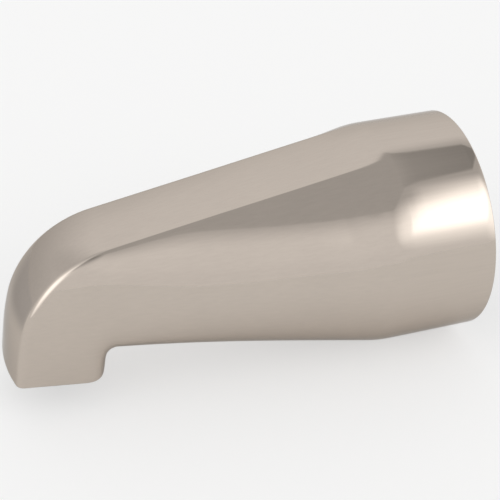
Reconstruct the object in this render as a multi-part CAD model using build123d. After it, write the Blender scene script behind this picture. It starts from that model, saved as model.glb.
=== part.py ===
from build123d import *
import os
from dataclasses import dataclass, replace
from math import asin, atan, atan2, cos, hypot, pi, radians, sin, sqrt, tan

# Bath spout, one zinc casting. The origin is the centre of the round base on the wall plane,
# +X runs out from the wall along the supply pipe and +Z is up. Sizes are millimetres.

# Round base at the wall
collar_radius = 32.0
collar_length = 27.0         # to where the top starts to fall
side_start = 29.0            # to where the sides and the underside start to taper
rim_round = 0.4

# Flat top panel, bounded by two creases
panel_half_width = 11.3
panel_crown = 0.7
shoulder_lead = 3.0          # the round base starts to flatten this far before its end
shoulder_run = 15.0          # and the panel is fully formed this far past it
bend_softness = 1.2          # how widely the base bends into the panel and the underside
side_bend_softness = 0.4     # and into the sides

# Nose, where the panel turns down into the front
reach = 133.6                # wall to the front corners of the outlet
nose_radius = 31.3
nose_turn = radians(74.5)    # direction below level at which the gentler front curve takes over
nose_drop = 5.6              # that place, below the pipe axis
front_radius = 80.0
front_lean = radians(8.0)    # from upright, at the outlet
nose_half_width = 12.2       # the sides run straight from the base to this
nose_widening = 0.67         # share of the bend over which the panel gains its width at the nose
front_crown = 1.35

# Sides and underside
waist_drop = 3.0             # widest line below the pipe axis at the nose
crease_slope_base = radians(32.0)    # side below level at the crease, behind the shoulder
crease_slope_nose = radians(44.5)    # and where the nose begins
crease_slope_reach = 0.75    # share of the tapered body over which the slope grows
edge_round = 0.7             # length of each leg of the rounded crease
nose_edge_round = 1.7        # and at the nose and the front
oval = 0.5523                # Bezier handle that gives a quarter ellipse
keel_fullness_nose = 0.76    # squarer corners under the nose
waist_fullness_nose = 0.74
fullness_power = 4.0

# Outlet block below the nose
outlet_drop = 22.75          # outlet plane below the pipe axis
outlet_depth = 25.6          # front to rear
rear_lean = radians(11.7)
elbow_drop = 16.25           # corner of underside and outlet block, below the pipe axis
elbow_radius = 1.9           # rounding of that corner
corner_depth = 7.5           # rear corners of the outlet block
keel_fullness_outlet = 0.97
outlet_edge_round = 0.5

# Inside
shell_wall = 2.6
nose_wall = 3.0
chamber_start = 0.3          # share of the bend at which the outlet chamber ends inside
core_round = 1.0             # rounding at the inner ends of both hollows
cut_past = 2.0               # how far a cutting form runs past the face it opens

# Supply connection, tapped for a half inch pipe
thread_setback = 50.6        # mouth of the thread behind the front corners
thread_bore_radius = 9.13
thread_length = 16.0
thread_lead_in = 1.6
boss_wall = 3.6
boss_length = 12.0           # how far the boss stands out into the hollow
waterway_radius = 7.9

# Cross-sections along each stretch of the casting
collar_stations = 7
shoulder_stations = 6
body_stations = 8
bend_stations = 14
chamber_stations = 8

# Places that follow from the reach
outlet_rear = reach - outlet_depth
thread_entry = reach - thread_setback
cavity_depth = thread_entry + boss_length
side_taper = (collar_radius - nose_half_width) / (reach - side_start)

# Crease rail, from the outlet back: lip, front arc, nose arc and the line that meets the round base
crease_height = sqrt(collar_radius**2 - panel_half_width**2)
front_angle = pi / 2 - front_lean
front_run = front_radius * (sin(front_angle) - sin(nose_turn))
front_fall = front_radius * (cos(nose_turn) - cos(front_angle))
lip_length = (outlet_drop - nose_drop - front_fall) / cos(front_lean)
nose_centre_x = reach - lip_length * sin(front_lean) - front_run - nose_radius * sin(nose_turn)
centre_run = nose_centre_x - collar_length
centre_fall = crease_height + nose_drop + nose_radius * cos(nose_turn)
panel_angle = atan2(centre_fall, centre_run) - asin(nose_radius / hypot(centre_run, centre_fall))
panel_fall = tan(panel_angle)
nose_start = nose_centre_x + nose_radius * sin(panel_angle)
level_at_wall = crease_height + panel_fall * collar_length

# Keel rail: the line of the underside, the hollow corner and the rear of the outlet block
elbow_x = outlet_rear - (outlet_drop - elbow_drop) * tan(rear_lean)
underside_rise = (collar_radius - elbow_drop) / (elbow_x - side_start)
rise_angle = atan(underside_rise)
rear_angle = pi / 2 - rear_lean
keel_level_at_wall = -collar_radius - underside_rise * side_start
elbow_back = elbow_radius * tan((rise_angle + rear_angle) / 2)
elbow_start_x = elbow_x - elbow_back * cos(rise_angle)
rear_length = (outlet_drop - elbow_drop) / cos(rear_lean) - elbow_back

# Sections stand upright up to here, then swing round the bend: the lengths of both rails from there
swing_start = min(nose_start, elbow_start_x)
crease_spans = (
    (nose_start - swing_start) / cos(panel_angle),
    nose_radius * (nose_turn - panel_angle),
    front_radius * (front_angle - nose_turn),
    lip_length,
)
keel_spans = (
    (elbow_start_x - swing_start) / cos(rise_angle),
    elbow_radius * (rise_angle + rear_angle),
    rear_length,
)


@dataclass
class Station:
    """One cross-section: heights run from the keel towards the crease, widths are half widths."""

    keel: tuple
    up: tuple
    height: float
    panel: float
    edge: float
    crease_slope: float
    crown_tilt: float
    waist_height: float
    waist: float
    waist_slant: float
    keel_fullness: float
    waist_fullness: float


def ease(share):
    held = min(max(share, 0.0), 1.0)
    return held * held * (3 - 2 * held)


def between(first, last, share):
    return first + (last - first) * share


def soft_min(a, b, softness):
    overlap = max(softness - abs(a - b), 0.0) / softness
    return min(a, b) - overlap**3 * softness / 6


def crown_tilt(crown, half_width):
    return 2 * atan(crown / half_width)


def body_station(x):
    """Upright section of the round base and the tapered body."""
    run = x - collar_length
    side_run = x - side_start
    share = max(run / (swing_start - collar_length), 0.0)
    formed = ease((run + shoulder_lead) / (shoulder_lead + shoulder_run))
    panel_share = max((run - shoulder_run) / (swing_start - collar_length - shoulder_run), 0.0)
    round_slope = asin(panel_half_width / collar_radius)
    panel_slope = between(crease_slope_base, crease_slope_nose, ease(panel_share / crease_slope_reach))
    crown = between(collar_radius - crease_height, panel_crown, formed)
    crease_z = soft_min(crease_height, crease_height - panel_fall * run, bend_softness)
    keel_z = -soft_min(collar_radius, collar_radius - underside_rise * side_run, bend_softness)
    return Station(
        keel=(x, keel_z),
        up=(0.0, 1.0),
        height=crease_z - keel_z,
        panel=panel_half_width,
        edge=edge_round,
        crease_slope=between(round_slope, panel_slope, formed),
        crown_tilt=crown_tilt(crown, panel_half_width),
        waist_height=-waist_drop * share - keel_z,
        waist=soft_min(collar_radius, collar_radius - side_taper * side_run, side_bend_softness),
        waist_slant=0.0,
        keel_fullness=between(oval, keel_fullness_nose, share**fullness_power),
        waist_fullness=between(oval, waist_fullness_nose, share**fullness_power),
    )


def spans_covered(spans, share):
    """How much of each span lies behind this share of their whole length."""
    along = share * sum(spans)
    covered = []
    for span in spans:
        covered.append(min(along, span))
        along -= covered[-1]
    return covered


def turned_by(radius, start_angle, length):
    """Run and fall along an arc that bends downwards, from a direction below level."""
    end_angle = start_angle + length / radius
    return radius * (sin(end_angle) - sin(start_angle)), radius * (cos(start_angle) - cos(end_angle))


def crease_point(share):
    """Point on the crease between the start of the bend and the outlet."""
    straight, nose, front, lip = spans_covered(crease_spans, share)
    along_nose, down_nose = turned_by(nose_radius, panel_angle, nose)
    along_front, down_front = turned_by(front_radius, nose_turn, front)
    x = swing_start + straight * cos(panel_angle) + along_nose + along_front + lip * sin(front_lean)
    z = level_at_wall - panel_fall * swing_start - straight * sin(panel_angle)
    return x, z - down_nose - down_front - lip * cos(front_lean)


def keel_point(share):
    """Point on the keel between the start of the bend and the outlet."""
    straight, elbow, rear = spans_covered(keel_spans, share)
    along_elbow, down_elbow = turned_by(elbow_radius, -rise_angle, elbow)
    x = swing_start + straight * cos(rise_angle) + along_elbow + rear * sin(rear_lean)
    z = keel_level_at_wall + underside_rise * swing_start + straight * sin(rise_angle)
    return x, z - down_elbow - rear * cos(rear_lean)


def bend_station(share):
    """Section that swings from upright at the nose to level at the outlet."""
    crease_x, crease_z = crease_point(share)
    keel_x, keel_z = keel_point(share)
    height = hypot(crease_x - keel_x, crease_z - keel_z)
    up = ((crease_x - keel_x) / height, (crease_z - keel_z) / height)
    swung = ease(share)
    widened = ease(share / nose_widening)
    first = body_station(swing_start)
    waist_share = between(first.waist_height / first.height, corner_depth / outlet_depth, swung)
    waist_height = waist_share * height
    waist_x = keel_x + waist_height * up[0]
    panel = between(panel_half_width, nose_half_width, widened)
    crown = between(panel_crown, front_crown, swung)
    return Station(
        keel=(keel_x, keel_z),
        up=up,
        height=height,
        panel=panel,
        edge=between(edge_round, nose_edge_round, widened),
        crease_slope=between(crease_slope_nose, atan2(1.0, side_taper), widened),
        crown_tilt=crown_tilt(crown, panel),
        waist_height=waist_height,
        waist=collar_radius - side_taper * (waist_x - side_start),
        waist_slant=-side_taper * up[0],
        keel_fullness=between(keel_fullness_nose, keel_fullness_outlet, swung),
        waist_fullness=between(waist_fullness_nose, oval, swung),
    )


def inset(station, wall):
    """The same section, one wall thickness further in."""
    tilt, slope = station.crown_tilt, station.crease_slope
    across = sin(tilt) + sin(slope)
    inward = cos(tilt) + cos(slope)
    shift = wall / (1 + cos(slope - tilt))
    keel = (station.keel[0] + wall * station.up[0], station.keel[1] + wall * station.up[1])
    return replace(
        station,
        keel=keel,
        height=station.height - shift * inward - wall,
        panel=station.panel - shift * across,
        waist_height=station.waist_height - wall,
        waist=station.waist - wall,
    )


def arc_handle(start, end, turn):
    """Handle length that makes a Bezier follow a circular arc which turns by this angle."""
    return hypot(end[0] - start[0], end[1] - start[1]) / (3 * cos(turn / 4) ** 2)


def arc_like(start, start_angle, end, end_angle):
    """Bezier from start to end that leaves and arrives at these directions."""
    reach_in = arc_handle(start, end, end_angle - start_angle)
    first = (start[0] + reach_in * cos(start_angle), start[1] + reach_in * sin(start_angle))
    last = (end[0] - reach_in * cos(end_angle), end[1] - reach_in * sin(end_angle))
    return [start, first, last, end]


def cut_bezier(points, share):
    """The part of a cubic Bezier up to this share, and the rest."""
    rows = [points]
    while len(rows[-1]) > 1:
        row = rows[-1]
        rows.append([tuple(between(p, q, share) for p, q in zip(a, b)) for a, b in zip(row, row[1:])])
    return [row[0] for row in rows], [row[-1] for row in reversed(rows)]


def rounding_share(points, leg):
    """Share of a Bezier that one leg of the rounded crease takes from its end."""
    return leg / (3 * hypot(points[3][0] - points[2][0], points[3][1] - points[2][1]))


def half_section(s):
    """Curves from the keel to the crease on the +Y side, and the crown across the panel."""
    waist_angle = atan2(1.0, s.waist_slant)
    drop = s.waist_fullness * s.waist_height
    waist = (s.waist, s.waist_height)
    below = (s.waist - drop * cos(waist_angle), s.waist_height - drop * sin(waist_angle))
    lower = [(0.0, 0.0), (s.keel_fullness * s.waist, 0.0), below, waist]
    side = arc_like(waist, waist_angle, (s.panel, s.height), pi - s.crease_slope)
    crown = arc_like((s.panel, s.height), pi - s.crown_tilt, (-s.panel, s.height), pi + s.crown_tilt)
    side = cut_bezier(side, 1 - rounding_share(side, s.edge))[0]
    trim = rounding_share(crown, s.edge)
    crown = cut_bezier(crown, 1 - trim)[0]
    crown = cut_bezier(crown, trim / (1 - trim))[1]
    side_end = atan2(side[3][1] - side[2][1], side[3][0] - side[2][0])
    crown_start = atan2(crown[1][1] - crown[0][1], crown[1][0] - crown[0][0])
    return lower, side, arc_like(side[3], side_end, crown[0], crown_start), crown


def section_wire(s):
    """Closed outline of a station, in place."""

    def edge(points, mirror):
        placed = [
            (s.keel[0] + up * s.up[0], mirror * y, s.keel[1] + up * s.up[1]) for y, up in points
        ]
        return Edge.make_bezier(*placed)

    lower, side, rounding, crown = half_section(s)
    right = [edge(points, 1) for points in (lower, side, rounding)]
    left = [edge(points[::-1], -1) for points in (rounding, side, lower)]
    return Wire(right + [edge(crown, 1)] + left)


def eased(first, last, count):
    """Places from first to last, closer together towards both."""
    return [between(first, last, ease(i / count)) for i in range(count + 1)]


def body_stations_to(last):
    """Upright sections from the wall, closest together at the rim and where the form changes."""
    base_end = collar_length - shoulder_lead
    panel_formed = collar_length + shoulder_run
    places = [base_end * (i / collar_stations) ** 2 for i in range(collar_stations)]
    places += [between(base_end, panel_formed, i / shoulder_stations) for i in range(shoulder_stations)]
    places += eased(panel_formed, last, body_stations)
    return [body_station(x) for x in places]


def loft_stations(stations):
    return Solid.make_loft([section_wire(s) for s in stations])


def outer_form():
    stations = body_stations_to(swing_start)
    stations += [bend_station(share) for share in eased(0.0, 1.0, bend_stations)[1:]]
    form = loft_stations(stations)
    outlet = form.faces().sort_by(Axis.Z)[0].edges()
    form = form.fillet(outlet_edge_round, outlet)
    rim = form.faces().sort_by(Axis.X)[0].edges()
    return form.fillet(rim_round, rim)


def wall_cavity():
    """Hollow behind the supply boss, open to the wall."""
    stations = [body_station(-cut_past)] + body_stations_to(cavity_depth)
    hollow = loft_stations([inset(s, shell_wall) for s in stations])
    hollow -= along_pipe(thread_bore_radius + boss_wall, thread_entry, cavity_depth + cut_past)
    return hollow.fillet(core_round, hollow.faces().sort_by(Axis.X)[-1].edges())


def outlet_chamber():
    """Hollow behind the front, open at the outlet."""
    shares = eased(chamber_start, 1.0, chamber_stations)
    stations = [inset(bend_station(share), nose_wall) for share in shares]
    outlet = stations[-1]
    stations.append(replace(outlet, keel=(outlet.keel[0], outlet.keel[1] - cut_past)))
    hollow = loft_stations(stations)
    return hollow.fillet(core_round, hollow.faces().sort_by(Axis.Z)[-1].edges())


def along_pipe(radius, first, last):
    """Cylinder on the pipe axis between two distances from the wall."""
    return Pos(first, 0, 0) * Rot(0, 90, 0) * Cylinder(
        radius, last - first, align=(Align.CENTER, Align.CENTER, Align.MIN)
    )


def lead_in():
    """Countersink at the mouth of the thread."""
    return Pos(thread_entry, 0, 0) * Rot(0, 90, 0) * Cone(
        thread_bore_radius + thread_lead_in,
        thread_bore_radius,
        thread_lead_in,
        align=(Align.CENTER, Align.CENTER, Align.MIN),
    )


def spout_body():
    chamber_reach = crease_point(chamber_start)[0]
    body = outer_form() - wall_cavity() - outlet_chamber()
    body -= along_pipe(waterway_radius, thread_entry, chamber_reach)
    body -= along_pipe(thread_bore_radius, thread_entry, thread_entry + thread_length)
    return body - lead_in()


os.makedirs("parts", exist_ok=True)
export_step(spout_body(), "parts/spout_body.step")
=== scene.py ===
from math import asin, atan, atan2, cos, hypot, pi, radians, sin, sqrt, tan

import bmesh
import bpy
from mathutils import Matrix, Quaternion, Vector


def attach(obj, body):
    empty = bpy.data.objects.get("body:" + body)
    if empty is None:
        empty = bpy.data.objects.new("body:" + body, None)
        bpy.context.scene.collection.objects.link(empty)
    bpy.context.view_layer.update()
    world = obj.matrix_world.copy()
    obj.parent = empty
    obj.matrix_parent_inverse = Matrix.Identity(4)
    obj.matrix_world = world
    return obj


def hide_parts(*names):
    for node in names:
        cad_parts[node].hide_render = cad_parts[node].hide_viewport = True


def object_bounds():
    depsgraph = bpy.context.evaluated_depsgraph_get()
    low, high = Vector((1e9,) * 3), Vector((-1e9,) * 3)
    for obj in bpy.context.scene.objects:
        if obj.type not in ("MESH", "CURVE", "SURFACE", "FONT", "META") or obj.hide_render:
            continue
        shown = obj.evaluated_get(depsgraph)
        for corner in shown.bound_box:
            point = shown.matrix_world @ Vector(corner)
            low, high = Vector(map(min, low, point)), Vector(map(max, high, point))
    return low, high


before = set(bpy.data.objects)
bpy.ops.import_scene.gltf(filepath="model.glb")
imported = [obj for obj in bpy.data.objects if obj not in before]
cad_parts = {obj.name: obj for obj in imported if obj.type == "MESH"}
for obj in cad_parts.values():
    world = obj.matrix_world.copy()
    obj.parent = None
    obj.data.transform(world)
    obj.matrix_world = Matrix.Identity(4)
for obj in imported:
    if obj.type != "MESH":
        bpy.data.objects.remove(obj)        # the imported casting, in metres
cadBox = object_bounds()
mm = 0.001
print("frame loaded:", sorted(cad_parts))

# The casting: millimetres and radians, the same sizes that its solid is built from
casting = {
    "collarRadius": 32.0, "collarLength": 27.0, "sideStart": 29.0, "rimRound": 0.4,
    "panelHalfWidth": 11.3, "panelCrown": 0.7,
    "shoulderLead": 3.0, "shoulderRun": 15.0, "bendSoftness": 1.2, "sideBendSoftness": 0.4,
    "reach": 133.6, "noseRadius": 31.3, "noseTurn": radians(74.5), "noseDrop": 5.6,
    "frontRadius": 80.0, "frontLean": radians(8.0),
    "noseHalfWidth": 12.2, "noseWidening": 0.67, "frontCrown": 1.35,
    "waistDrop": 3.0, "creaseSlopeBase": radians(32.0), "creaseSlopeNose": radians(44.5),
    "creaseSlopeReach": 0.75, "edgeRound": 0.7, "noseEdgeRound": 1.7, "oval": 0.5523,
    "keelFullnessNose": 0.76, "waistFullnessNose": 0.74, "fullnessPower": 4.0,
    "outletDrop": 22.75, "outletDepth": 25.6, "rearLean": radians(11.7),
    "elbowDrop": 16.25, "elbowRadius": 1.9, "cornerDepth": 7.5,
    "keelFullnessOutlet": 0.97, "outletEdgeRound": 0.5, "lipBand": 1.2,
    "shellWall": 2.6, "noseWall": 3.0, "chamberStart": 0.3, "coreRound": 1.0,
    "threadSetback": 50.6, "boreRadius": 9.13, "threadLength": 16.0, "leadIn": 1.6,
    "bossWall": 3.6, "bossLength": 12.0, "waterwayRadius": 7.9,
}
# How finely the skin is divided, round a section and along the casting
skin = {
    "lower": 30, "side": 36, "rounding": 8, "crown": 20,
    "round": 5, "collar": 10, "shoulder": 44, "body": 44, "bend": 84, "lip": 3,
    "chamber": 30, "bore": 12, "hollow": 36, "sharpAngle": radians(32),
    "mouthShare": 0.97,  # of the chamber's end, at most, that the waterway's mouth takes
}
c = casting

# Crease rail, from the outlet back: lip, front arc, nose arc, and the line that meets the round base
outletRear = c["reach"] - c["outletDepth"]
sideTaper = (c["collarRadius"] - c["noseHalfWidth"]) / (c["reach"] - c["sideStart"])
creaseHeight = sqrt(c["collarRadius"]**2 - c["panelHalfWidth"]**2)
frontAngle = pi / 2 - c["frontLean"]
frontRun = c["frontRadius"] * (sin(frontAngle) - sin(c["noseTurn"]))
frontFall = c["frontRadius"] * (cos(c["noseTurn"]) - cos(frontAngle))
lipLength = (c["outletDrop"] - c["noseDrop"] - frontFall) / cos(c["frontLean"])
noseCentre = c["reach"] - lipLength * sin(c["frontLean"]) - frontRun - c["noseRadius"] * sin(c["noseTurn"])
centreRun = noseCentre - c["collarLength"]
centreFall = creaseHeight + c["noseDrop"] + c["noseRadius"] * cos(c["noseTurn"])
panelAngle = atan2(centreFall, centreRun) - asin(c["noseRadius"] / hypot(centreRun, centreFall))
panelFall = tan(panelAngle)
noseStart = noseCentre + c["noseRadius"] * sin(panelAngle)

# Keel rail: underside, hollow corner and the rear of the outlet
elbowX = outletRear - (c["outletDrop"] - c["elbowDrop"]) * tan(c["rearLean"])
undersideRise = (c["collarRadius"] - c["elbowDrop"]) / (elbowX - c["sideStart"])
riseAngle = atan(undersideRise)
rearAngle = pi / 2 - c["rearLean"]
elbowBack = c["elbowRadius"] * tan((riseAngle + rearAngle) / 2)
elbowStart = elbowX - elbowBack * cos(riseAngle)
rearLength = (c["outletDrop"] - c["elbowDrop"]) / cos(c["rearLean"]) - elbowBack

# Both rails swing from here to the level band above the outlet
swingStart = min(noseStart, elbowStart)
creaseSpans = (
    (noseStart - swingStart) / cos(panelAngle),
    c["noseRadius"] * (c["noseTurn"] - panelAngle),
    c["frontRadius"] * (frontAngle - c["noseTurn"]),
    lipLength - c["lipBand"] / cos(c["frontLean"]),
)
keelSpans = (
    (elbowStart - swingStart) / cos(riseAngle),
    c["elbowRadius"] * (riseAngle + rearAngle),
    rearLength - c["lipBand"] / cos(c["rearLean"]),
)
threadEntry = c["reach"] - c["threadSetback"]
hollowDepth = threadEntry + c["bossLength"]


def ease(share):
    held = min(max(share, 0.0), 1.0)
    return held * held * (3 - 2 * held)


def mixed(first, last, share):
    return first + (last - first) * share


def spread(first, last, count):        # even places, both ends included
    return [mixed(first, last, i / count) for i in range(count + 1)]


def softMin(a, b, softness):
    over = max(softness - abs(a - b), 0.0) / softness
    return min(a, b) - over**3 * softness / 6


def crownTilt(crown, halfWidth):
    return 2 * atan(crown / halfWidth)


def bodySection(x):                    # upright section of the round base and the tapered body
    run, sideRun = x - c["collarLength"], x - c["sideStart"]
    share = max(run / (swingStart - c["collarLength"]), 0.0)
    formed = ease((run + c["shoulderLead"]) / (c["shoulderLead"] + c["shoulderRun"]))
    pastShoulder = max((run - c["shoulderRun"]) / (swingStart - c["collarLength"] - c["shoulderRun"]), 0.0)
    roundSlope = asin(c["panelHalfWidth"] / c["collarRadius"])
    grown = ease(pastShoulder / c["creaseSlopeReach"])
    panelSlope = mixed(c["creaseSlopeBase"], c["creaseSlopeNose"], grown)
    crown = mixed(c["collarRadius"] - creaseHeight, c["panelCrown"], formed)
    keelZ = -softMin(c["collarRadius"], c["collarRadius"] - undersideRise * sideRun, c["bendSoftness"])
    return {
        "keel": (x, keelZ), "up": (0.0, 1.0),
        "height": softMin(creaseHeight, creaseHeight - panelFall * run, c["bendSoftness"]) - keelZ,
        "panel": c["panelHalfWidth"],
        "creaseSlope": mixed(roundSlope, panelSlope, formed),
        "crownTilt": crownTilt(crown, c["panelHalfWidth"]),
        "waistHeight": -c["waistDrop"] * share - keelZ,
        "waist": softMin(c["collarRadius"], c["collarRadius"] - sideTaper * sideRun, c["sideBendSoftness"]),
        "waistSlant": 0.0, "edge": c["edgeRound"],
        "keelFullness": mixed(c["oval"], c["keelFullnessNose"], share**c["fullnessPower"]),
        "waistFullness": mixed(c["oval"], c["waistFullnessNose"], share**c["fullnessPower"]),
    }


def spansCovered(spans, share):        # how much of each span lies behind this share of them all
    along = share * sum(spans)
    covered = []
    for span in spans:
        covered.append(min(along, span))
        along -= covered[-1]
    return covered


def turnedBy(radius, startAngle, length):
    endAngle = startAngle + length / radius
    return radius * (sin(endAngle) - sin(startAngle)), radius * (cos(startAngle) - cos(endAngle))


def creasePoint(share):
    straight, nose, front, lip = spansCovered(creaseSpans, share)
    alongNose, downNose = turnedBy(c["noseRadius"], panelAngle, nose)
    alongFront, downFront = turnedBy(c["frontRadius"], c["noseTurn"], front)
    x = swingStart + straight * cos(panelAngle) + alongNose + alongFront + lip * sin(c["frontLean"])
    z = creaseHeight - panelFall * (swingStart - c["collarLength"]) - straight * sin(panelAngle)
    return x, z - downNose - downFront - lip * cos(c["frontLean"])


def keelPoint(share):
    straight, elbow, rear = spansCovered(keelSpans, share)
    alongElbow, downElbow = turnedBy(c["elbowRadius"], -riseAngle, elbow)
    x = swingStart + straight * cos(riseAngle) + alongElbow + rear * sin(c["rearLean"])
    z = undersideRise * (swingStart - c["sideStart"]) - c["collarRadius"] + straight * sin(riseAngle)
    return x, z - downElbow - rear * cos(c["rearLean"])


def swungSection(keel, crease, share):
    height = hypot(crease[0] - keel[0], crease[1] - keel[1])
    up = ((crease[0] - keel[0]) / height, (crease[1] - keel[1]) / height)
    swung, widened = ease(share), ease(share / c["noseWidening"])
    first = bodySection(swingStart)
    waistShare = mixed(first["waistHeight"] / first["height"], c["cornerDepth"] / c["outletDepth"], swung)
    waistHeight = waistShare * height
    panel = mixed(c["panelHalfWidth"], c["noseHalfWidth"], widened)
    return {
        "keel": keel, "up": up, "height": height, "panel": panel,
        "creaseSlope": mixed(c["creaseSlopeNose"], atan2(1.0, sideTaper), widened),
        "crownTilt": crownTilt(mixed(c["panelCrown"], c["frontCrown"], swung), panel),
        "waistHeight": waistHeight,
        "waist": c["collarRadius"] - sideTaper * (keel[0] + waistHeight * up[0] - c["sideStart"]),
        "waistSlant": -sideTaper * up[0], "edge": mixed(c["edgeRound"], c["noseEdgeRound"], widened),
        "keelFullness": mixed(c["keelFullnessNose"], c["keelFullnessOutlet"], swung),
        "waistFullness": mixed(c["waistFullnessNose"], c["oval"], swung),
    }


def bendSection(share):                # swings from upright at the nose to level above the outlet
    return swungSection(keelPoint(share), creasePoint(share), share)


def lipSection(rise):                  # level, this far above the outlet plane
    keel = (outletRear - rise * tan(c["rearLean"]), rise - c["outletDrop"])
    crease = (c["reach"] - rise * tan(c["frontLean"]), rise - c["outletDrop"])
    return swungSection(keel, crease, 1.0)


def inset(s, wall):                    # the same section, one wall thickness further in
    across = sin(s["crownTilt"]) + sin(s["creaseSlope"])
    inward = cos(s["crownTilt"]) + cos(s["creaseSlope"])
    shift = wall / (1 + cos(s["creaseSlope"] - s["crownTilt"]))
    smaller = dict(s)
    smaller["keel"] = (s["keel"][0] + wall * s["up"][0], s["keel"][1] + wall * s["up"][1])
    smaller["height"] = s["height"] - shift * inward - wall
    smaller["panel"] = s["panel"] - shift * across
    smaller["waistHeight"] = s["waistHeight"] - wall
    smaller["waist"] = s["waist"] - wall
    return smaller


def arcLike(start, startAngle, end, endAngle):
    handle = hypot(end[0] - start[0], end[1] - start[1]) / (3 * cos((endAngle - startAngle) / 4) ** 2)
    first = (start[0] + handle * cos(startAngle), start[1] + handle * sin(startAngle))
    last = (end[0] - handle * cos(endAngle), end[1] - handle * sin(endAngle))
    return [start, first, last, end]


def cutBezier(points, share):
    rows = [points]
    while len(rows[-1]) > 1:
        row = rows[-1]
        rows.append([tuple(mixed(p, q, share) for p, q in zip(a, b)) for a, b in zip(row, row[1:])])
    return [row[0] for row in rows], [row[-1] for row in reversed(rows)]


def roundingShare(points, leg):
    return leg / (3 * hypot(points[3][0] - points[2][0], points[3][1] - points[2][1]))


def halfSection(s):
    waistAngle = atan2(1.0, s["waistSlant"])
    drop = s["waistFullness"] * s["waistHeight"]
    waist, crease = (s["waist"], s["waistHeight"]), (s["panel"], s["height"])
    below = (waist[0] - drop * cos(waistAngle), waist[1] - drop * sin(waistAngle))
    lower = [(0.0, 0.0), (s["keelFullness"] * s["waist"], 0.0), below, waist]
    side = arcLike(waist, waistAngle, crease, pi - s["creaseSlope"])
    crown = arcLike(crease, pi - s["crownTilt"], (-crease[0], crease[1]), pi + s["crownTilt"])
    side = cutBezier(side, 1 - roundingShare(side, s["edge"]))[0]
    trim = roundingShare(crown, s["edge"])
    crown = cutBezier(crown, 1 - trim)[0]
    crown = cutBezier(crown, trim / (1 - trim))[1]
    sideEnd = atan2(side[3][1] - side[2][1], side[3][0] - side[2][0])
    crownStart = atan2(crown[1][1] - crown[0][1], crown[1][0] - crown[0][0])
    return lower, side, arcLike(side[3], sideEnd, crown[0], crownStart), crown


def sampled(points, count):            # count places along a Bezier, its end left out
    return [cutBezier(points, i / count)[0][-1] for i in range(count)]


def sectionLoop(s):
    lower, side, rounding, crown = halfSection(s)
    right = sampled(lower, skin["lower"]) + sampled(side, skin["side"])
    right += sampled(rounding, skin["rounding"])
    top = sampled(crown, skin["crown"]) + [crown[-1]]
    flat = right + top + [(-y, u) for y, u in reversed(right[1:])]
    return [Vector((s["keel"][0] + u * s["up"][0], y, s["keel"][1] + u * s["up"][1])) for y, u in flat]


def ringLoop(x, radius):               # round the pipe axis, point for point with the end of the hollow
    return [Vector((x, radius * cos(a), radius * sin(a))) for a in ringAngles]


ringAngles = [atan2(p.z, p.y) for p in sectionLoop(inset(bodySection(hollowDepth), c["shellWall"]))]
quarter = [pi / 2 * i / skin["round"] for i in range(skin["round"] + 1)]


def outsideLoops():                    # from the rim at the wall, over the nose, to the edge of the outlet
    rim, edge = c["rimRound"], c["outletEdgeRound"]
    baseEnd = c["collarLength"] - c["shoulderLead"]
    panelFormed = c["collarLength"] + c["shoulderRun"]
    sections = [inset(bodySection(rim * (1 - cos(a))), rim * (1 - sin(a))) for a in quarter]
    places = spread(rim, baseEnd, skin["collar"])[1:]
    places += spread(baseEnd, panelFormed, skin["shoulder"])[1:]
    places += spread(panelFormed, swingStart, skin["body"])[1:]
    sections += [bodySection(x) for x in places]
    sections += [bendSection(share) for share in spread(0.0, 1.0, skin["bend"])[1:]]
    sections += [lipSection(rise) for rise in spread(c["lipBand"], edge, skin["lip"])[1:-1]]
    sections += [inset(lipSection(edge * (1 - sin(a))), edge * (1 - cos(a))) for a in quarter]
    return [sectionLoop(s) for s in sections]


def chamberLoops():                    # up from the outlet to the slanting end behind the nose
    sections = [lipSection(rise) for rise in spread(0.0, c["lipBand"], skin["lip"])]
    sections += [bendSection(share) for share in spread(1.0, c["chamberStart"], skin["chamber"])[1:]]
    return [sectionLoop(inset(s, c["noseWall"])) for s in sections]


def waterwayMouth(chamberEnd):         # where the waterway meets the slanting end of the chamber
    keel = chamberEnd[0]
    slant = bendSection(c["chamberStart"])["up"]
    loop = []
    for angle, corner in zip(ringAngles, chamberEnd):
        radius = min(c["waterwayRadius"], skin["mouthShare"] * hypot(corner.y, corner.z))
        y, z = radius * cos(angle), radius * sin(angle)
        loop.append(Vector((keel.x + (z - keel.z) * slant[0] / slant[1], y, z)))
    return loop


def pipeLoops():                       # tapping bore, its lead-in, and the outside of the boss
    boss, bore = c["boreRadius"] + c["bossWall"], c["boreRadius"]
    deep = threadEntry + c["threadLength"]
    loops = [ringLoop(deep, c["waterwayRadius"])]
    loops += [ringLoop(x, bore) for x in spread(deep, threadEntry + c["leadIn"], skin["bore"])]
    loops += [ringLoop(threadEntry, bore + c["leadIn"])]
    core = c["coreRound"]
    foot = [ringLoop(hollowDepth - core * (1 - sin(a)), boss + core * (1 - cos(a))) for a in quarter]
    return loops, [ringLoop(threadEntry, boss)] + foot


def hollowLoops():                     # from the inner end of the hollow back to the wall
    wall, core = c["shellWall"], c["coreRound"]
    sections = [
        inset(bodySection(hollowDepth - core * (1 - cos(a))), wall + core * (1 - sin(a))) for a in quarter
    ]
    places = spread(hollowDepth - core, 0.0, skin["hollow"])[1:]
    sections += [inset(bodySection(x), wall) for x in places]
    return [sectionLoop(s) for s in sections]


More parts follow.
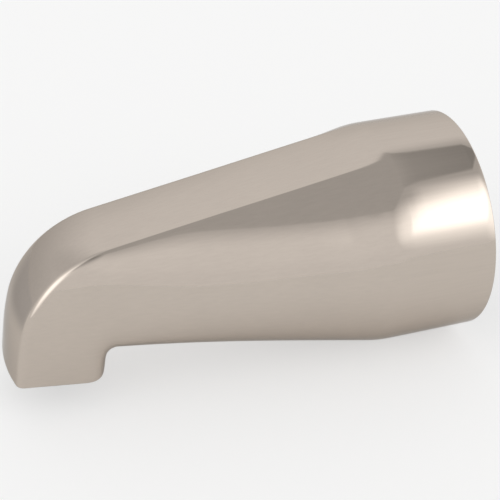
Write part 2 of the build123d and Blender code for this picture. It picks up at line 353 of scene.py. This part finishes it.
def castingMesh():
    chamber = chamberLoops()
    bore, boss = pipeLoops()
    stretches = [
        (outsideLoops(), "plated"), (chamber, "cast"), ([waterwayMouth(chamber[-1])], "cut"),
        (bore, "cut"), (boss, "cast"), (hollowLoops(), "cast"),
    ]
    finishes = ["plated", "cast", "cut"]
    loops = [loop for stretch, finish in stretches for loop in stretch]
    bandFinish = [finishes.index(finish) for stretch, finish in stretches for loop in stretch]
    around = len(loops[0])
    points = [p * mm for loop in loops for p in loop]
    faces, slots = [], []
    for i, finish in enumerate(bandFinish):
        here, there = i * around, (i + 1) % len(loops) * around
        for j in range(around):
            k = (j + 1) % around
            faces.append((here + j, here + k, there + k, there + j))
            slots.append(finish)
    slots[-around:] = [finishes.index("plated")] * around      # the rim's flat face
    mesh = bpy.data.meshes.new("spout")
    mesh.from_pydata(points, [], faces)
    mesh.polygons.foreach_set("material_index", slots)
    tidy = bmesh.new()
    tidy.from_mesh(mesh)
    bmesh.ops.recalc_face_normals(tidy, faces=tidy.faces)
    tidy.to_mesh(mesh)
    tidy.free()
    return mesh


spout = bpy.data.objects.new("spout", castingMesh())
bpy.context.scene.collection.objects.link(spout)
print("casting skin:", len(spout.data.polygons), "faces")

# Finishes
nickel = {               # satin plating, brushed along the casting
    "name": "satinNickel", "colour": (0.580, 0.511, 0.449), "shade": (0.548, 0.483, 0.425),
    "roughness": (0.06, 0.09), "stretch": (0.05, 1.0, 1.0), "grainScale": 1500.0, "cloudScale": 55.0,
    "grainShare": 0.6, "bumpStrength": 0.04, "bumpDepth": 0.00002, "edgeTint": (0.70, 0.68, 0.66),
}
castZinc = {             # bare inside, as it leaves the mould
    "name": "castZinc", "colour": (0.70, 0.69, 0.675), "shade": (0.65, 0.64, 0.625),
    "roughness": (0.46, 0.56), "stretch": (1.0, 1.0, 1.0), "grainScale": 1400.0, "cloudScale": 160.0,
    "grainShare": 0.2, "bumpStrength": 0.45, "bumpDepth": 0.0001, "edgeTint": (0.85, 0.85, 0.85),
}
cutZinc = {              # bored and tapped, so turning marks run round the pipe axis
    "name": "cutZinc", "colour": (0.66, 0.65, 0.635), "shade": (0.55, 0.54, 0.53),
    "roughness": (0.24, 0.34), "stretch": (9.0, 0.25, 0.25), "grainScale": 900.0, "cloudScale": 220.0,
    "grainShare": 0.2, "bumpStrength": 0.25, "bumpDepth": 0.00004, "edgeTint": (0.85, 0.85, 0.85),
}
mottling = {"grainDetail": 3.0, "cloudDetail": 4.0, "noiseRange": (0.3, 0.7)}


def metalSurfaceGroup():               # grain of a metal surface, and its mottling by grain and clouds
    group = bpy.data.node_groups.new("metalSurface", "ShaderNodeTree")
    named = group.interface.new_socket
    named("Stretch", in_out="INPUT", socket_type="NodeSocketVector")
    for name in ("Grain Scale", "Cloud Scale", "Grain Share"):
        named(name, in_out="INPUT", socket_type="NodeSocketFloat")
    for name in ("Grain", "Mottling"):
        named(name, in_out="OUTPUT", socket_type="NodeSocketFloat")
    nodes, link = group.nodes, group.links.new
    given, made = nodes.new("NodeGroupInput"), nodes.new("NodeGroupOutput")
    place = nodes.new("ShaderNodeTexCoord")
    stretched = nodes.new("ShaderNodeVectorMath")
    stretched.operation = "MULTIPLY"
    grain, cloud = nodes.new("ShaderNodeTexNoise"), nodes.new("ShaderNodeTexNoise")
    grain.inputs["Detail"].default_value = mottling["grainDetail"]
    cloud.inputs["Detail"].default_value = mottling["cloudDetail"]
    both, even = nodes.new("ShaderNodeMix"), nodes.new("ShaderNodeMapRange")
    even.inputs["From Min"].default_value, even.inputs["From Max"].default_value = mottling["noiseRange"]
    link(place.outputs["Object"], stretched.inputs[0])
    link(given.outputs["Stretch"], stretched.inputs[1])
    link(stretched.outputs["Vector"], grain.inputs["Vector"])
    link(given.outputs["Grain Scale"], grain.inputs["Scale"])
    link(place.outputs["Object"], cloud.inputs["Vector"])
    link(given.outputs["Cloud Scale"], cloud.inputs["Scale"])
    link(given.outputs["Grain Share"], both.inputs["Factor"])
    link(cloud.outputs["Fac"], both.inputs["A"])
    link(grain.outputs["Fac"], both.inputs["B"])
    link(both.outputs["Result"], even.inputs["Value"])
    link(grain.outputs["Fac"], made.inputs["Grain"])
    link(even.outputs["Result"], made.inputs["Mottling"])
    return group


def metal(look):
    material = bpy.data.materials.new(look["name"])
    material.use_nodes = True
    nodes, link = material.node_tree.nodes, material.node_tree.links.new
    shader = nodes["Principled BSDF"]
    shader.inputs["Metallic"].default_value = 1.0
    shader.inputs["Specular Tint"].default_value = (*look["edgeTint"], 1.0)
    surface = nodes.new("ShaderNodeGroup")
    surface.node_tree = metalSurface
    surface.inputs["Stretch"].default_value = look["stretch"]
    surface.inputs["Grain Scale"].default_value = look["grainScale"]
    surface.inputs["Cloud Scale"].default_value = look["cloudScale"]
    surface.inputs["Grain Share"].default_value = look["grainShare"]
    tint = nodes.new("ShaderNodeMix")
    tint.data_type = "RGBA"
    tint.inputs["A"].default_value = (*look["shade"], 1.0)
    tint.inputs["B"].default_value = (*look["colour"], 1.0)
    gloss = nodes.new("ShaderNodeMapRange")
    gloss.inputs["To Min"].default_value, gloss.inputs["To Max"].default_value = look["roughness"]
    bump = nodes.new("ShaderNodeBump")
    bump.inputs["Strength"].default_value = look["bumpStrength"]
    bump.inputs["Distance"].default_value = look["bumpDepth"]
    link(surface.outputs["Mottling"], tint.inputs["Factor"])
    link(tint.outputs["Result"], shader.inputs["Base Color"])
    link(surface.outputs["Mottling"], gloss.inputs["Value"])
    link(gloss.outputs["Result"], shader.inputs["Roughness"])
    link(surface.outputs["Grain"], bump.inputs["Height"])
    link(bump.outputs["Normal"], shader.inputs["Normal"])
    return material


metalSurface = metalSurfaceGroup()
for look in (nickel, castZinc, cutZinc):
    spout.data.materials.append(metal(look))
print("finishes:", [m.name for m in spout.data.materials])

# Half inch pipe thread, 14 turns to the inch, cut into the bore
thread = {
    "pitch": 1.814, "turns": 7.4, "steps": 72, "groove": 1.02, "pathRadius": 9.46,
    "taper": 0.031, "start": -0.6,
    "profileTurn": pi,   # puts the groove's bottom outward
}


def threadTree():                      # a three-sided profile swept along a tapering coil
    tree = bpy.data.node_groups.new("threadCoil", "GeometryNodeTree")
    named = tree.interface.new_socket
    for name in ("Turns", "Pitch", "Path Radius", "End Radius", "Groove", "Mouth"):
        named(name, in_out="INPUT", socket_type="NodeSocketFloat")
    named("Steps", in_out="INPUT", socket_type="NodeSocketInt")
    named("Finish", in_out="INPUT", socket_type="NodeSocketMaterial")
    named("Geometry", in_out="OUTPUT", socket_type="NodeSocketGeometry")
    nodes, link = tree.nodes, tree.links.new
    given, made = nodes.new("NodeGroupInput"), nodes.new("NodeGroupOutput")
    coil = nodes.new("GeometryNodeCurveSpiral")
    coil.inputs["Reverse"].default_value = True      # right-handed
    height = nodes.new("ShaderNodeMath")
    height.operation = "MULTIPLY"
    upright = nodes.new("GeometryNodeSetCurveNormal")
    upright.mode = "Z_UP"
    profile = nodes.new("GeometryNodeCurvePrimitiveCircle")
    profile.inputs["Resolution"].default_value = 3
    turned = nodes.new("GeometryNodeTransform")
    turned.inputs["Rotation"].default_value = (0.0, 0.0, thread["profileTurn"])
    sweep = nodes.new("GeometryNodeCurveToMesh")
    sweep.inputs["Fill Caps"].default_value = True
    place = nodes.new("ShaderNodeCombineXYZ")
    along = nodes.new("GeometryNodeTransform")       # from upright to the pipe axis
    along.inputs["Rotation"].default_value = (0.0, pi / 2, 0.0)
    plain, finish = nodes.new("GeometryNodeRealizeInstances"), nodes.new("GeometryNodeSetMaterial")
    link(given.outputs["Turns"], height.inputs[0])
    link(given.outputs["Pitch"], height.inputs[1])
    link(given.outputs["Steps"], coil.inputs["Resolution"])
    link(given.outputs["Turns"], coil.inputs["Rotations"])
    link(given.outputs["Path Radius"], coil.inputs["Start Radius"])
    link(given.outputs["End Radius"], coil.inputs["End Radius"])
    link(height.outputs["Value"], coil.inputs["Height"])
    link(coil.outputs["Curve"], upright.inputs["Curve"])
    link(given.outputs["Groove"], profile.inputs["Radius"])
    link(profile.outputs["Curve"], turned.inputs["Geometry"])
    link(upright.outputs["Curve"], sweep.inputs["Curve"])
    link(turned.outputs["Geometry"], sweep.inputs["Profile Curve"])
    link(given.outputs["Mouth"], place.inputs["X"])
    link(sweep.outputs["Mesh"], along.inputs["Geometry"])
    link(place.outputs["Vector"], along.inputs["Translation"])
    link(along.outputs["Geometry"], plain.inputs["Geometry"])
    link(plain.outputs["Geometry"], finish.inputs["Geometry"])
    link(given.outputs["Finish"], finish.inputs["Material"])
    link(finish.outputs["Geometry"], made.inputs["Geometry"])
    return tree


def plainMesh(thing, name):            # what the modifiers make of it, as a mesh of its own
    ready = thing.evaluated_get(bpy.context.evaluated_depsgraph_get())
    mesh = bpy.data.meshes.new_from_object(ready)
    mesh.name = name
    return mesh


def threadCoil():
    carrier = bpy.data.objects.new("threadCoil", bpy.data.meshes.new("threadCoil"))
    bpy.context.scene.collection.objects.link(carrier)
    modifier = carrier.modifiers.new("coil", "NODES")
    modifier.node_group = threadTree()
    endRadius = thread["pathRadius"] - thread["turns"] * thread["pitch"] * thread["taper"]
    wanted = {
        "Turns": thread["turns"], "Pitch": thread["pitch"] * mm, "Path Radius": thread["pathRadius"] * mm,
        "End Radius": endRadius * mm, "Groove": thread["groove"] * mm, "Steps": thread["steps"],
        "Mouth": (threadEntry + thread["start"]) * mm, "Finish": bpy.data.materials["cutZinc"],
    }
    for socket in modifier.node_group.interface.items_tree:
        if socket.name in wanted:
            modifier[socket.identifier] = wanted[socket.name]
    carrier.data = plainMesh(carrier, "threadCoil")
    carrier.modifiers.clear()
    return carrier


def divideBore(mesh):                  # into triangles, so that no sliver is doubled where the thread cuts
    work = bmesh.new()
    work.from_mesh(mesh)
    bored = mesh.materials.find("cutZinc")
    bmesh.ops.triangulate(work, faces=[face for face in work.faces if face.material_index == bored])
    work.to_mesh(mesh)
    work.free()


def cutThread(body, coil):
    groove = body.modifiers.new("thread", "BOOLEAN")
    groove.operation, groove.solver, groove.object = "DIFFERENCE", "EXACT", coil
    body.data = plainMesh(body, "spout")
    body.modifiers.clear()
    bpy.data.objects.remove(coil)
    divideBore(body.data)


cutThread(spout, threadCoil())
spout.data.shade_smooth()
spout.data.set_sharp_from_angle(angle=skin["sharpAngle"])
print("thread cut:", len(spout.data.polygons), "faces")

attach(spout, "root")
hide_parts("spout_body")

# Studio: a white tent with dim cloths overhead and off the nose, a soft key towards the wall end and a
# soft fill at the nose. An edge of a cloth has the bearing it lies in, how far from overhead it is, and a
# softness. A panel has the azimuth and elevation of its middle, a roll, half its width and height as
# tangents, and a softness. The change is what a cloth takes from the tent and what a lamp adds to it.
studio = {
    "floorGap": 0.0003, "floorSize": 8.0, "floorColour": (0.90, 0.90, 0.895), "floorRoughness": 0.9,
    "seenGlow": 0.5, "mirroredGlow": 0.15, "tent": 0.924, "cornerPower": 4.0, "leastAhead": 0.001,
    "paintedShadePatch": {             # painted shade on the floor off the nose: a dim patch, placed by direction from the nose, seen in mirrors only
        "from": (0.129, 0.0, -0.004), "middle": (-52.0, -6.0), "roll": 0.0, "half": (0.30, 0.29),
        "softness": 0.50, "change": 0.62, "colour": (0.41, 0.42, 0.44),
    },
    "straightCloths": (
        {"change": 0.365, "fold": 0.20, "foldEdge": (0.0, -22.6, 0.07), "edges": (
            (82.0, 39.2, 0.02), (126.7, 34.9, 0.02), (150.0, 27.2, 0.02),
            (236.0, 31.4, 0.02), (318.0, 6.0, 0.06))},
        {"change": 0.300, "edges": (
            (73.0, 43.7, 0.19), (163.9, 37.3, 0.12), (267.0, 28.5, 0.16), (318.0, 5.0, 0.12))},
    ),
    "softCloths": (
        {"middle": (55.7, 47.8), "roll": -27.1, "half": (0.215, 0.277), "softness": 0.55, "change": 0.585},
        {"middle": (-48.6, 43.5), "roll": -16.2, "half": (0.214, 1.600), "softness": 0.90, "change": 0.227},
        {"middle": (-55.9, -9.5), "roll": 107.5, "half": (0.761, 0.639), "softness": 0.90, "change": 0.291},
    ),
    "lamps": (
        {"middle": (126.4, 39.6), "roll": -29.8, "half": (0.087, 0.357), "softness": 0.40, "change": 0.812},
        {"middle": (146.3, 15.4), "roll": -38.2, "half": (0.878, 0.346), "softness": 0.73, "change": 0.972},
        {"middle": (88.6, 31.0), "roll": -42.2, "half": (0.340, 0.260), "softness": 0.50, "change": 0.050},
        {"middle": (25.7, 27.1), "roll": 15.3, "half": (0.396, 0.359), "softness": 0.90, "change": 1.194},
    ),
}
view = {
    "azimuth": radians(161.375), "elevation": radians(32.932), "distance": 0.41,
    "aim": (0.0622, 0.0005, 0.0012), "lens": 103.03, "clipStart": 0.01,
}


def mathNode(tree, operation, *values):     # the values are numbers or sockets
    node = tree.nodes.new("ShaderNodeMath")
    node.operation = operation
    for socket, value in zip(node.inputs, values):
        if isinstance(value, (int, float)):
            socket.default_value = value
        else:
            tree.links.new(value, socket)
    return node.outputs["Value"]


def shareGroup(name, vectors, numbers):      # from directions and sizes to a share between 0 and 1
    tree = bpy.data.node_groups.new(name, "ShaderNodeTree")
    for socket in vectors:
        tree.interface.new_socket(socket, in_out="INPUT", socket_type="NodeSocketVector")
    for socket in numbers:
        tree.interface.new_socket(socket, in_out="INPUT", socket_type="NodeSocketFloat")
    tree.interface.new_socket("Share", in_out="OUTPUT", socket_type="NodeSocketFloat")
    return tree, tree.nodes.new("NodeGroupInput"), tree.nodes.new("NodeGroupOutput")


def alongNode(tree, given, axis):
    node = tree.nodes.new("ShaderNodeVectorMath")
    node.operation = "DOT_PRODUCT"
    tree.links.new(given.outputs["Direction"], node.inputs[0])
    tree.links.new(given.outputs[axis], node.inputs[1])
    return node.outputs["Value"]


def softStep(tree, value, first, last):
    node = tree.nodes.new("ShaderNodeMapRange")
    node.interpolation_type = "SMOOTHSTEP"
    for name, socket in (("Value", value), ("From Min", first), ("From Max", last)):
        tree.links.new(socket, node.inputs[name])
    return node.outputs["Result"]


def clothEdgeGroup():                  # share of a straight-edged cloth that a direction meets
    tree, given, made = shareGroup("clothEdge", ("Direction", "Inward"), ("Softness",))
    softness = given.outputs["Softness"]
    outside = mathNode(tree, "MULTIPLY", softness, -1.0)
    share = softStep(tree, alongNode(tree, given, "Inward"), outside, softness)
    tree.links.new(share, made.inputs["Share"])
    return tree


def softPanelGroup():                  # share of a soft round-cornered panel that a direction meets
    sizes = ("Half Width", "Half Height", "Softness")
    tree, given, made = shareGroup("softPanel", ("Direction", "Middle", "Across", "Rise"), sizes)
    ahead = mathNode(tree, "MAXIMUM", alongNode(tree, given, "Middle"), studio["leastAhead"])
    power = studio["cornerPower"]

    def reached(axis, half):           # a power of how far out the direction is, 1 at the edge
        out = mathNode(tree, "DIVIDE", alongNode(tree, given, axis), ahead)
        return mathNode(tree, "POWER", mathNode(tree, "DIVIDE", out, given.outputs[half]), power)

    corner = mathNode(tree, "ADD", reached("Across", "Half Width"), reached("Rise", "Half Height"))
    inner = mathNode(tree, "SUBTRACT", 1.0, given.outputs["Softness"])
    outer = mathNode(tree, "ADD", 1.0, given.outputs["Softness"])
    beyond = softStep(tree, mathNode(tree, "POWER", corner, 1 / power), inner, outer)
    tree.links.new(mathNode(tree, "SUBTRACT", 1.0, beyond), made.inputs["Share"])
    return tree


def shareOf(tree, direction, group, values):
    node = tree.nodes.new("ShaderNodeGroup")
    node.node_tree = group
    tree.links.new(direction, node.inputs["Direction"])
    for name, value in values.items():
        node.inputs[name].default_value = value
    return node.outputs["Share"]


def edgeShare(tree, direction, edge):
    bearing, reach = radians(edge[0]), radians(edge[1])
    inward = (-cos(reach) * cos(bearing), -cos(reach) * sin(bearing), sin(reach))
    return shareOf(tree, direction, clothEdge, {"Inward": inward, "Softness": edge[2]})


def softShare(tree, direction, panel):
    azimuth, elevation = (radians(angle) for angle in panel["middle"])
    middle = Vector((cos(azimuth) * cos(elevation), sin(azimuth) * cos(elevation), sin(elevation)))
    across = Quaternion(middle, radians(panel["roll"])) @ Vector((-sin(azimuth), cos(azimuth), 0.0))
    width, height = panel["half"]
    return shareOf(tree, direction, softPanel, {
        "Middle": middle, "Across": across, "Rise": middle.cross(across),
        "Half Width": width, "Half Height": height, "Softness": panel["softness"],
    })


def paleFloor():                       # glows a little to the camera and in mirrors, clear from below, with a patch of painted shade off the nose that only mirrors see
    material = bpy.data.materials.new("paleFloor")
    material.use_nodes = True
    tree, paintedShadePatch = material.node_tree, studio["paintedShadePatch"]
    nodes, link = tree.nodes, tree.links.new
    shader = nodes["Principled BSDF"]
    shader.inputs["Base Color"].default_value = (*studio["floorColour"], 1.0)
    shader.inputs["Roughness"].default_value = studio["floorRoughness"]
    shader.inputs["Specular IOR Level"].default_value = 0.0
    path, side = nodes.new("ShaderNodeLightPath"), nodes.new("ShaderNodeNewGeometry")
    place, fromNose = nodes.new("ShaderNodeTexCoord"), nodes.new("ShaderNodeVectorMath")
    fromNose.operation = "SUBTRACT"
    fromNose.inputs[1].default_value = paintedShadePatch["from"]
    link(place.outputs["Object"], fromNose.inputs[0])
    inMetal, inGlass = path.outputs["Is Glossy Ray"], path.outputs["Is Transmission Ray"]
    mirrored = mathNode(tree, "MAXIMUM", inMetal, inGlass)
    inMirror = mathNode(tree, "MULTIPLY", mirrored, studio["mirroredGlow"])
    glow = mathNode(tree, "MULTIPLY_ADD", path.outputs["Is Camera Ray"], studio["seenGlow"], inMirror)
    # painted shade: mirrors see a dim patch in place of the floor off the nose
    offNose = softShare(tree, fromNose.outputs["Vector"], paintedShadePatch)
    covered = mathNode(tree, "MULTIPLY", mathNode(tree, "MULTIPLY", offNose, paintedShadePatch["change"]), mirrored)
    light, paintedShadeEmission, clear = (nodes.new(kind) for kind in (
        "ShaderNodeEmission", "ShaderNodeEmission", "ShaderNodeBsdfTransparent"))
    paintedShadeEmission.inputs["Color"].default_value = (*paintedShadePatch["colour"], 1.0)
    lit, withPaintedShade, oneSided = (nodes.new("ShaderNodeMixShader") for layer in range(3))
    layers = (
        (lit, glow, shader.outputs["BSDF"], light.outputs["Emission"]),
        (withPaintedShade, covered, lit.outputs["Shader"], paintedShadeEmission.outputs["Emission"]),
        (oneSided, side.outputs["Backfacing"], withPaintedShade.outputs["Shader"], clear.outputs["BSDF"]),
    )
    for layer, share, below, above in layers:
        link(share, layer.inputs["Fac"])
        link(below, layer.inputs[1])
        link(above, layer.inputs[2])
    link(oneSided.outputs["Shader"], nodes["Material Output"].inputs["Surface"])
    return material


def addFloor():
    mesh = bpy.data.meshes.new("floor")
    half, z = studio["floorSize"] / 2, cadBox[0][2] - studio["floorGap"]
    corners = [(-half, -half, z), (half, -half, z), (half, half, z), (-half, half, z)]
    mesh.from_pydata(corners, [], [(0, 1, 2, 3)])
    mesh.materials.append(paleFloor())
    floor = bpy.data.objects.new("floor", mesh)
    bpy.context.scene.collection.objects.link(floor)


def straightDimming(tree, direction, cloth):
    taken = cloth["change"]
    if "fold" in cloth:                # darker still where the cloth is double
        folded = edgeShare(tree, direction, cloth["foldEdge"])
        taken = mathNode(tree, "MULTIPLY_ADD", folded, cloth["fold"], taken)
    for edge in cloth["edges"]:
        taken = mathNode(tree, "MULTIPLY", edgeShare(tree, direction, edge), taken)
    return taken


def addWorld():
    world = bpy.data.worlds.new("tent")
    bpy.context.scene.world = world
    world.use_nodes = True
    tree = world.node_tree
    direction = tree.nodes.new("ShaderNodeTexCoord").outputs["Generated"]
    dimmings = [straightDimming(tree, direction, cloth) for cloth in studio["straightCloths"]]
    for cloth in studio["softCloths"]:
        dimmings.append(mathNode(tree, "MULTIPLY", softShare(tree, direction, cloth), cloth["change"]))
    taken = 0.0
    for dimming in dimmings:
        taken = mathNode(tree, "MAXIMUM", dimming, taken)
    strength = mathNode(tree, "SUBTRACT", studio["tent"], taken)
    for lamp in studio["lamps"]:
        share = softShare(tree, direction, lamp)
        strength = mathNode(tree, "MULTIPLY_ADD", share, lamp["change"], strength)
    background = tree.nodes["Background"]
    background.inputs["Color"].default_value = (1.0, 1.0, 1.0, 1.0)
    tree.links.new(strength, background.inputs["Strength"])


def addCamera():
    lens = bpy.data.cameras.new("camera")
    lens.lens = view["lens"]
    lens.clip_start = view["clipStart"]
    camera = bpy.data.objects.new("camera", lens)
    bpy.context.scene.collection.objects.link(camera)
    level = cos(view["elevation"])
    away = Vector((sin(view["azimuth"]) * level, -cos(view["azimuth"]) * level, sin(view["elevation"])))
    camera.location = Vector(view["aim"]) + away * view["distance"]
    camera.rotation_euler = away.to_track_quat("Z", "Y").to_euler()
    bpy.context.scene.camera = camera


clothEdge, softPanel = clothEdgeGroup(), softPanelGroup()
addFloor()
addWorld()
addCamera()
bpy.context.scene.view_settings.view_transform = "Standard"
print("studio set")
